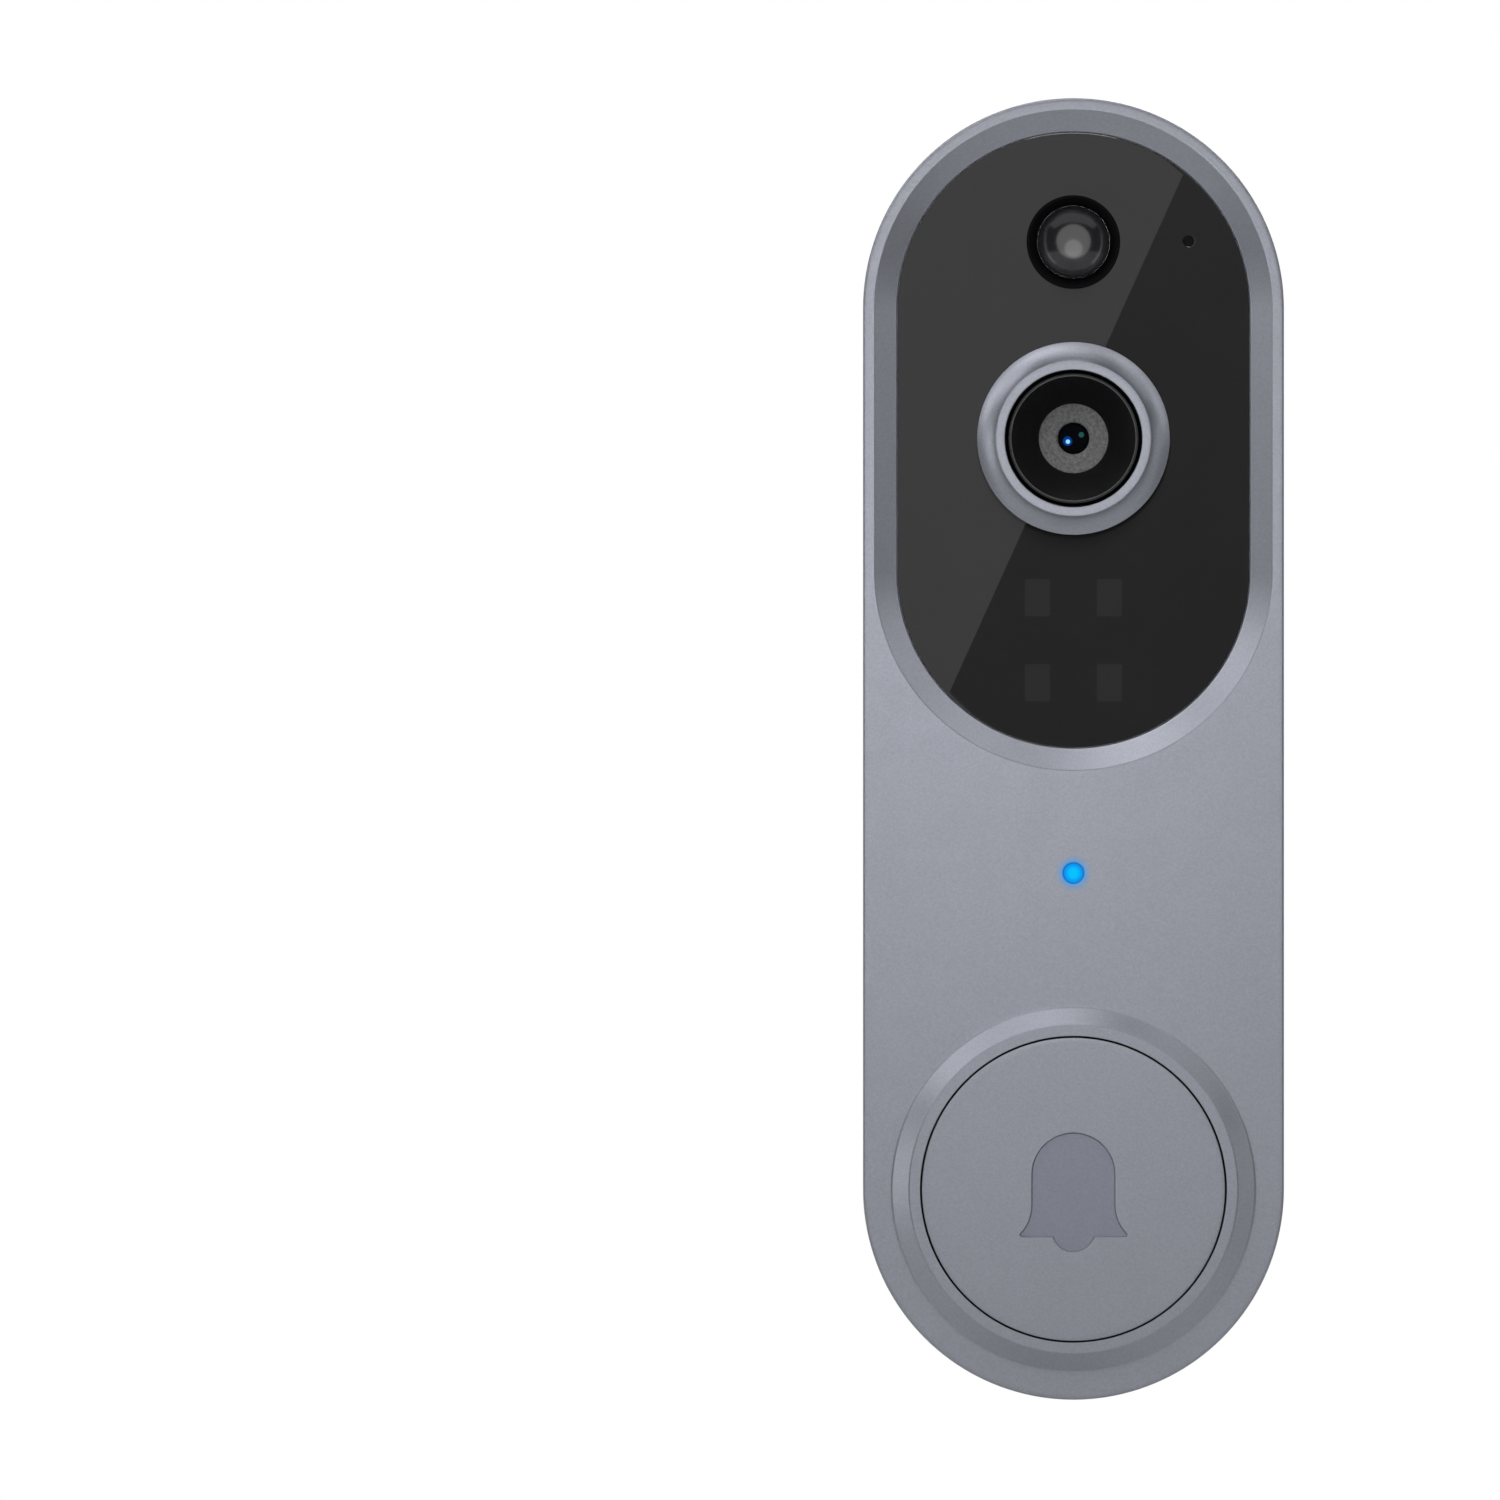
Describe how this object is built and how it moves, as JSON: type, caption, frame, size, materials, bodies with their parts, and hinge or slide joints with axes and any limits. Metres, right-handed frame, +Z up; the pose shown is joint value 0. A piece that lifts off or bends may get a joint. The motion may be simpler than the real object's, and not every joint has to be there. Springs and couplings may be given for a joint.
{
  "type": "video doorbell",
  "caption": "Slim stadium-shaped battery video doorbell with a smoked camera window and a large round bell button, on a hooked wall bracket.",
  "frame": {"origin": "centre of the wall bracket's back face, which lies on the wall", "axes": "+X to the right as seen by a visitor, +Z up, -Y out from the wall, so the doorbell faces -Y"},
  "size_m": [0.045, 0.0273, 0.1392],
  "materials": {
    "bracket_plastic": "black moulded, fine texture",
    "housing_plastic": "dark grey moulded, fine texture",
    "metallic_grey": "fine metallic grey paint, satin",
    "smoked_glass": "smoked, polished",
    "silicone": "matte",
    "clear_silicone": "translucent, matte",
    "foam": "closed-cell foam",
    "black_plastic": "matte black",
    "gloss_black": "polished black",
    "aperture_grey": "rough grey",
    "lens_glass": "coated, polished",
    "steel": "plated",
    "brass": "machined",
    "circuit_board": "green solder mask",
    "chip": "moulded epoxy",
    "connector": "ivory nylon",
    "polyimide": "amber film",
    "light_blue": "clear, lit blue",
    "emitter": "clear epoxy in a white cup",
    "battery_wrap": "blue film"
  },
  "bodies": {
    "bracket": {"wall_bracket": "bracket_plastic"},
    "doorbell": {"rear_housing": "housing_plastic", "front_shell": "metallic_grey", "housing_seal": "silicone", "housing_screws": "steel", "lock_insert": "brass", "window_panel": "smoked_glass", "window_gasket": "foam", "lens_ring": "metallic_grey", "lens_baffle": "black_plastic", "aperture_plate": "aperture_grey", "front_lens": "lens_glass", "inner_lenses": "lens_glass", "lens_barrel": "black_plastic", "lens_holder": "black_plastic", "infrared_filter": "lens_glass", "image_sensor": "chip", "camera_board": "circuit_board", "camera_ribbon": "polyimide", "pir_bezel": "gloss_black", "pir_lens": "gloss_black", "pir_sensor": "steel", "sensor_board": "circuit_board", "microphone": "chip", "microphone_boot": "silicone", "night_emitters": "emitter", "emitter_board": "circuit_board", "light_pipe": "light_blue", "status_led": "emitter", "main_board": "circuit_board", "shield_can": "steel", "board_chips": "chip", "board_connectors": "connector", "board_screws": "steel", "inner_frame": "black_plastic", "battery_pack": "battery_wrap", "battery_pads": "foam", "wifi_antenna": "polyimide", "speaker": "black_plastic", "speaker_cone": "black_plastic", "speaker_gasket": "foam", "return_dome": "clear_silicone", "tact_switch": "chip", "button_board": "circuit_board", "button_carrier": "black_plastic", "usb_port": "steel", "usb_tongue": "chip", "flap_anchor": "silicone", "reset_switch": "chip"},
    "button": {"button_cap": "metallic_grey", "switch_stem": "black_plastic"},
    "flap": {"usb_flap": "silicone"},
    "reset": {"reset_button": "connector", "reset_stem": "chip"},
    "lock_screw": {"lock_screw": "steel"}
  },
  "joints": [
    {"name": "doorbell_lift", "type": "slide", "parent": "bracket", "child": "doorbell", "axis": [0, 0, 1], "range_m": [0, 0.005]},
    {"name": "button_press", "type": "slide", "parent": "doorbell", "child": "button", "axis": [0, 1, 0], "range_m": [0, 0.0007], "stiffness_N_per_m": 3500, "springref_m": -0.0002, "deforming": ["return_dome"]},
    {"name": "flap_swing", "type": "hinge", "parent": "doorbell", "child": "flap", "pos_m": [0.022, -0.0142, 0.02505], "axis": [0, -1, 0], "range_deg": [0, 100]},
    {"name": "reset_press", "type": "slide", "parent": "doorbell", "child": "reset", "axis": [-1, 0, 0], "range_m": [0, 0.00035], "stiffness_N_per_m": 4000, "springref_m": -0.0001},
    {"name": "lock_screw_out", "type": "slide", "parent": "bracket", "child": "lock_screw", "axis": [0, 0, -1], "range_m": [0, 0.0085]}
  ]
}
